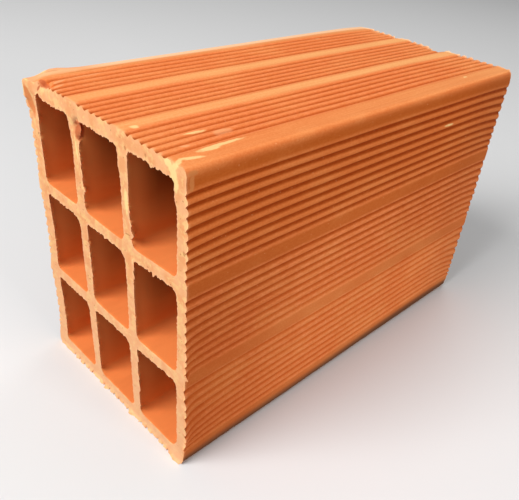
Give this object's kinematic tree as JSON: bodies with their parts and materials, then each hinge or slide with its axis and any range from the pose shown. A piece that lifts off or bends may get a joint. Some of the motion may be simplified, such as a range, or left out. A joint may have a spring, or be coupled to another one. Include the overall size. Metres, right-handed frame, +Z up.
{
  "type": "hollow clay brick",
  "caption": "Fired clay building block with parallel cells running through its length and grooved long faces for mortar and render.",
  "frame": {"origin": "middle of the bed face that the block stands on", "axes": "+Y along the cells, +X across the width to the right side face, +Z up"},
  "size_m": [0.14, 0.29, 0.19],
  "materials": {
    "fired_clay": "bare fired clay, dry and matt, orange to terracotta"
  },
  "bodies": {
    "root": {"clay_brick": "fired_clay"}
  },
  "joints": []
}
